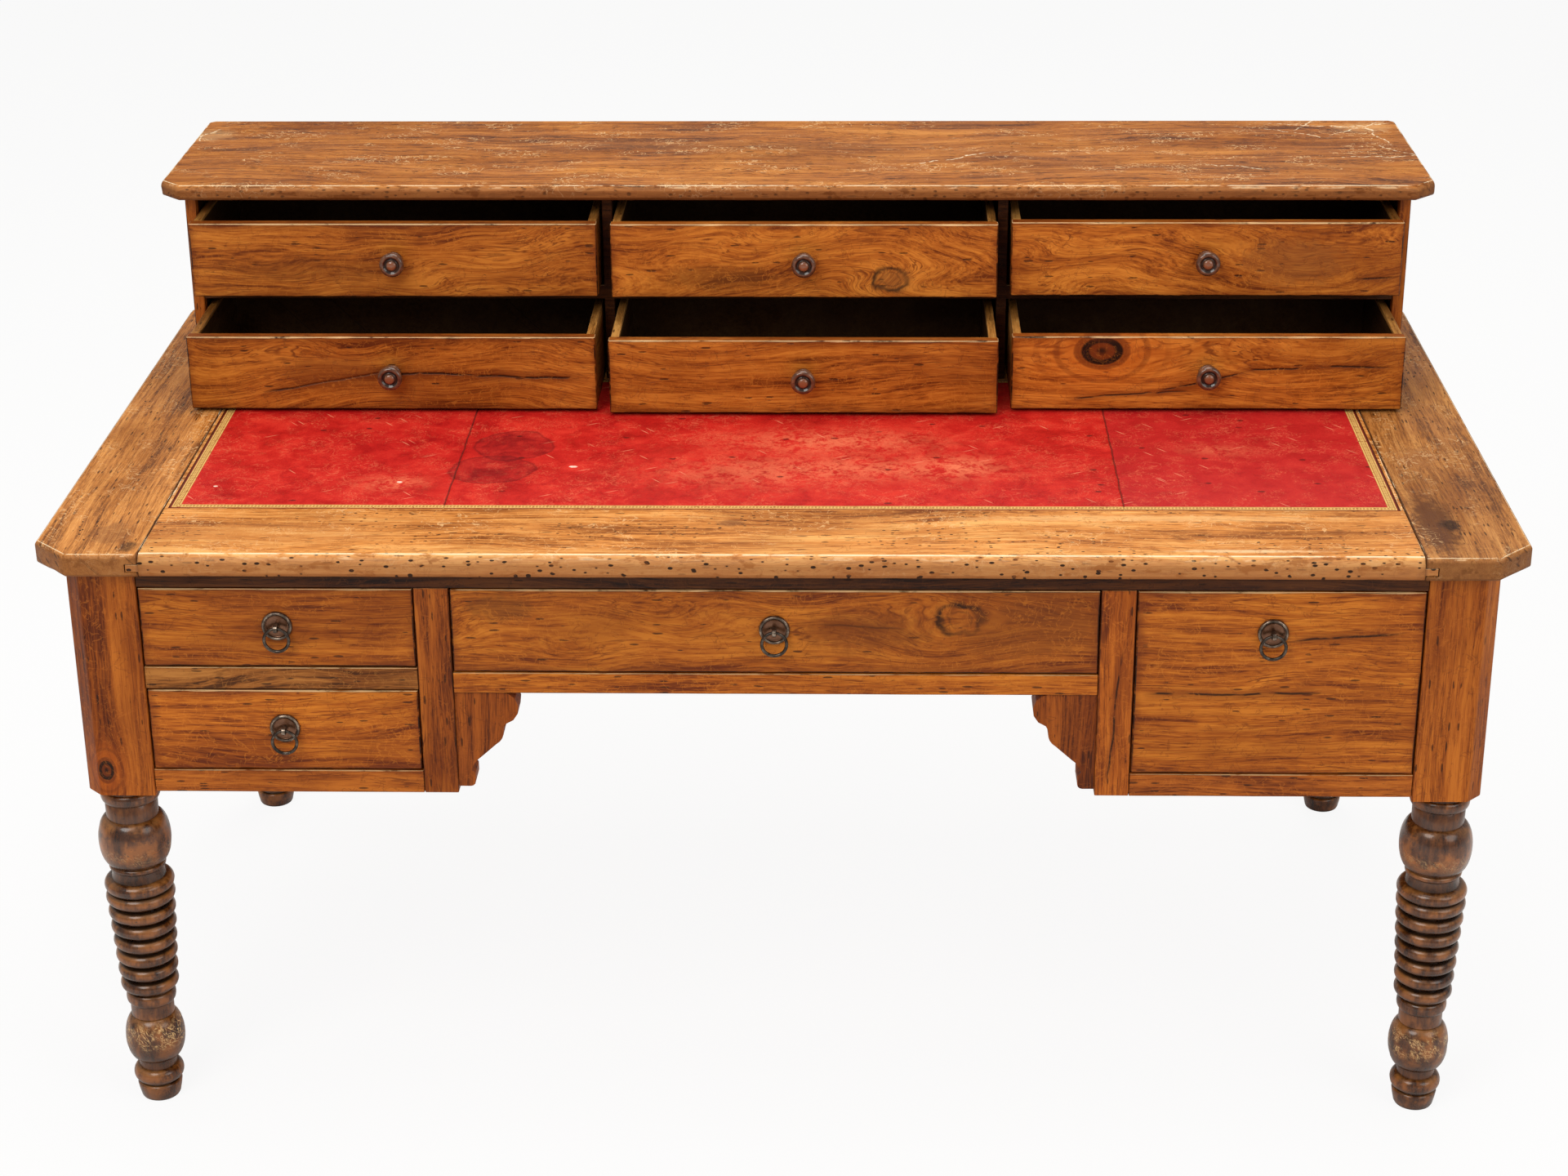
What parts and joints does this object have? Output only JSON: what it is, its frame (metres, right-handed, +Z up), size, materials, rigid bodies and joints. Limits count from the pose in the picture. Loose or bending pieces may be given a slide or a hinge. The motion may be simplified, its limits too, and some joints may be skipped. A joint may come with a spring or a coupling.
{
  "type": "library desk",
  "caption": "Wooden library desk with turned legs, red leather writing surface, base drawers with ring pulls and a gallery of small sliding drawers.",
  "frame": {"origin": "on the floor, under the middle of the desk top", "axes": "+X along the desk to the sitter's right, +Y from the sitter to the back, +Z up"},
  "size_m": [1.77, 0.94, 1.0613],
  "materials": {
    "desk_top_wood": "waxed, worn, golden tan",
    "cleat_wood": "waxed, mottled tan-brown",
    "leather": "worn red hide with a gilt border",
    "leg_wood": "dark waxed walnut, worn on the balls",
    "bracket_wood": "dark waxed",
    "drawer_front_wood": "waxed, warm orange-brown",
    "drawer_box_wood": "raw, aged",
    "knob_wood": "dark polished",
    "pull_metal": "dark patinated bronze",
    "gallery_wood": "waxed, mid-brown",
    "frame_wood": "waxed, warm brown"
  },
  "bodies": {
    "desk": {"back_panel": "frame_wood", "bracket_left": "bracket_wood", "bracket_right": "bracket_wood", "centre_rail": "frame_wood", "end_cleat_left": "cleat_wood", "end_cleat_right": "cleat_wood", "front_top_rail": "frame_wood", "gallery_back": "gallery_wood", "gallery_divider": "gallery_wood", "gallery_side_left": "gallery_wood", "gallery_side_right": "gallery_wood", "gallery_top": "gallery_wood", "leather_inset": "leather", "left_bottom_rail": "frame_wood", "left_middle_rail": "frame_wood", "leg_front_left": "leg_wood", "leg_front_right": "leg_wood", "leg_rear_left": "leg_wood", "leg_rear_right": "leg_wood", "right_bottom_rail": "frame_wood", "side_panel_left": "frame_wood", "side_panel_right": "frame_wood", "stile_left": "frame_wood", "stile_right": "frame_wood", "top_panel": "desk_top_wood"},
    "left_upper_drawer": {"left_upper_front": "drawer_front_wood", "left_upper_box": "drawer_box_wood", "left_upper_plate": "pull_metal"},
    "left_lower_drawer": {"left_lower_front": "drawer_front_wood", "left_lower_box": "drawer_box_wood", "left_lower_plate": "pull_metal"},
    "centre_drawer": {"centre_front": "drawer_front_wood", "centre_box": "drawer_box_wood", "centre_plate": "pull_metal"},
    "right_drawer": {"right_front": "drawer_front_wood", "right_box": "drawer_box_wood", "right_plate": "pull_metal"},
    "gallery_upper_left_drawer": {"gallery_upper_left_front": "drawer_front_wood", "gallery_upper_left_box": "drawer_box_wood", "gallery_upper_left_knob": "knob_wood"},
    "gallery_upper_centre_drawer": {"gallery_upper_centre_front": "drawer_front_wood", "gallery_upper_centre_box": "drawer_box_wood", "gallery_upper_centre_knob": "knob_wood"},
    "gallery_upper_right_drawer": {"gallery_upper_right_front": "drawer_front_wood", "gallery_upper_right_box": "drawer_box_wood", "gallery_upper_right_knob": "knob_wood"},
    "gallery_lower_left_drawer": {"gallery_lower_left_front": "drawer_front_wood", "gallery_lower_left_box": "drawer_box_wood", "gallery_lower_left_knob": "knob_wood"},
    "gallery_lower_centre_drawer": {"gallery_lower_centre_front": "drawer_front_wood", "gallery_lower_centre_box": "drawer_box_wood", "gallery_lower_centre_knob": "knob_wood"},
    "gallery_lower_right_drawer": {"gallery_lower_right_front": "drawer_front_wood", "gallery_lower_right_box": "drawer_box_wood", "gallery_lower_right_knob": "knob_wood"},
    "left_upper_ring": {"left_upper_ring": "pull_metal"},
    "left_lower_ring": {"left_lower_ring": "pull_metal"},
    "centre_ring": {"centre_ring": "pull_metal"},
    "right_ring": {"right_ring": "pull_metal"}
  },
  "joints": [
    {"name": "left_upper_slide", "type": "slide", "parent": "desk", "child": "left_upper_drawer", "axis": [0, -1, 0], "range_m": [0, 0.42]},
    {"name": "left_lower_slide", "type": "slide", "parent": "desk", "child": "left_lower_drawer", "axis": [0, -1, 0], "range_m": [0, 0.42]},
    {"name": "centre_slide", "type": "slide", "parent": "desk", "child": "centre_drawer", "axis": [0, -1, 0], "range_m": [0, 0.42]},
    {"name": "right_slide", "type": "slide", "parent": "desk", "child": "right_drawer", "axis": [0, -1, 0], "range_m": [0, 0.42]},
    {"name": "gallery_upper_left_slide", "type": "slide", "parent": "desk", "child": "gallery_upper_left_drawer", "axis": [0, -1, 0], "range_m": [-0.068, 0.132]},
    {"name": "gallery_upper_centre_slide", "type": "slide", "parent": "desk", "child": "gallery_upper_centre_drawer", "axis": [0, -1, 0], "range_m": [-0.0705, 0.1295]},
    {"name": "gallery_upper_right_slide", "type": "slide", "parent": "desk", "child": "gallery_upper_right_drawer", "axis": [0, -1, 0], "range_m": [-0.061, 0.139]},
    {"name": "gallery_lower_left_slide", "type": "slide", "parent": "desk", "child": "gallery_lower_left_drawer", "axis": [0, -1, 0], "range_m": [-0.137, 0.063]},
    {"name": "gallery_lower_centre_slide", "type": "slide", "parent": "desk", "child": "gallery_lower_centre_drawer", "axis": [0, -1, 0], "range_m": [-0.15, 0.05]},
    {"name": "gallery_lower_right_slide", "type": "slide", "parent": "desk", "child": "gallery_lower_right_drawer", "axis": [0, -1, 0], "range_m": [-0.132, 0.068]},
    {"name": "left_upper_ring_swing", "type": "hinge", "parent": "left_upper_drawer", "child": "left_upper_ring", "pos_m": [-0.59882, -0.458, 0.681], "axis": [-1, 0, 0], "range_deg": [0, 110]},
    {"name": "left_lower_ring_swing", "type": "hinge", "parent": "left_lower_drawer", "child": "left_lower_ring", "pos_m": [-0.59882, -0.458, 0.5459], "axis": [-1, 0, 0], "range_deg": [0, 110]},
    {"name": "centre_ring_swing", "type": "hinge", "parent": "centre_drawer", "child": "centre_ring", "pos_m": [-0.00575, -0.458, 0.678], "axis": [-1, 0, 0], "range_deg": [0, 110]},
    {"name": "right_ring_swing", "type": "hinge", "parent": "right_drawer", "child": "right_ring", "pos_m": [0.58457, -0.458, 0.6756], "axis": [-1, 0, 0], "range_deg": [0, 110]}
  ]
}
